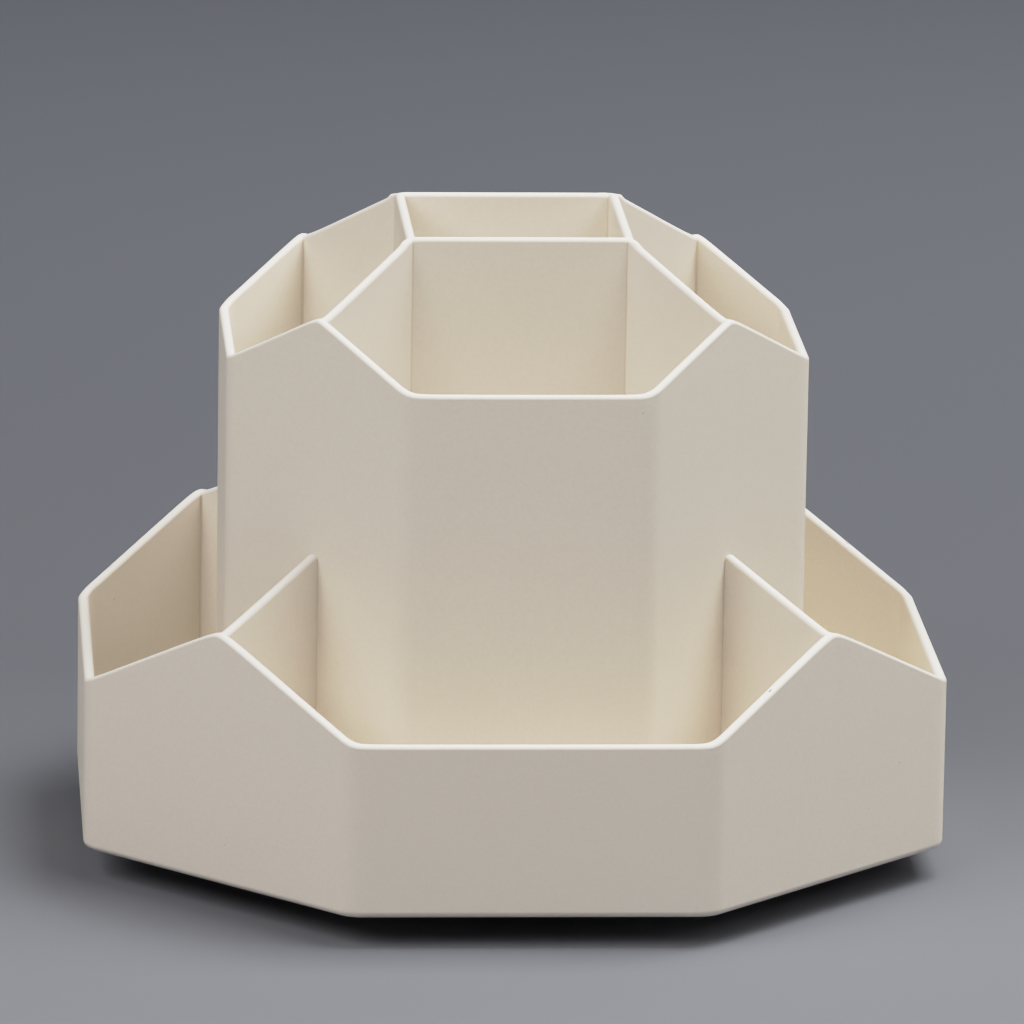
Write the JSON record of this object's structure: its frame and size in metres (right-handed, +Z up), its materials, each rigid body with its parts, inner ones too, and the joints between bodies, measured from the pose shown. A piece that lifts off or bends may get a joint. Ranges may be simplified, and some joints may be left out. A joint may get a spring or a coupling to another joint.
{
  "type": "desk organizer",
  "caption": "Tiered octagonal desk organizer with divided open-topped compartments around a tall divided tower, turning on a hidden ball-bearing base.",
  "frame": {"origin": "on the spin axis, in the plane that the foot pads rest on", "axes": "+Z up along the spin axis; -Y towards the front side of the octagon, +X to its right"},
  "size_m": [0.17, 0.17, 0.1266],
  "materials": {
    "shell_plastic": "ivory moulded plastic with a fine spark-eroded matte texture",
    "base_plastic": "ivory moulded plastic, smooth matte, hidden under the tray",
    "cage_plastic": "natural acetal, satin",
    "ball_steel": "polished bearing steel",
    "screw_steel": "zinc-plated steel",
    "foot_rubber": "dark matte rubber"
  },
  "bodies": {
    "base": {"base_disc": "base_plastic", "foot_pad_1": "foot_rubber", "foot_pad_2": "foot_rubber", "foot_pad_3": "foot_rubber", "foot_pad_4": "foot_rubber"},
    "cage": {"ball_cage": "cage_plastic", "bearing_ball_1": "ball_steel", "bearing_ball_2": "ball_steel", "bearing_ball_3": "ball_steel", "bearing_ball_4": "ball_steel", "bearing_ball_5": "ball_steel", "bearing_ball_6": "ball_steel", "bearing_ball_7": "ball_steel", "bearing_ball_8": "ball_steel", "bearing_ball_9": "ball_steel", "bearing_ball_10": "ball_steel", "bearing_ball_11": "ball_steel", "bearing_ball_12": "ball_steel"},
    "organizer": {"tray": "shell_plastic", "tower": "shell_plastic", "turntable_plate": "base_plastic", "tower_screws": "screw_steel", "pivot_washer": "screw_steel", "pivot_screw": "screw_steel"}
  },
  "joints": [
    {"name": "spin", "type": "hinge", "parent": "base", "child": "organizer", "pos_m": [0, 0, 0.0063], "axis": [0, 0, 1], "continuous": true},
    {"name": "cage_spin", "type": "hinge", "parent": "base", "child": "cage", "pos_m": [0, 0, 0.0063], "axis": [0, 0, 1], "continuous": true}
  ],
  "couplings": [
    {"joint": "cage_spin", "follows": "spin", "ratio": 0.5}
  ]
}
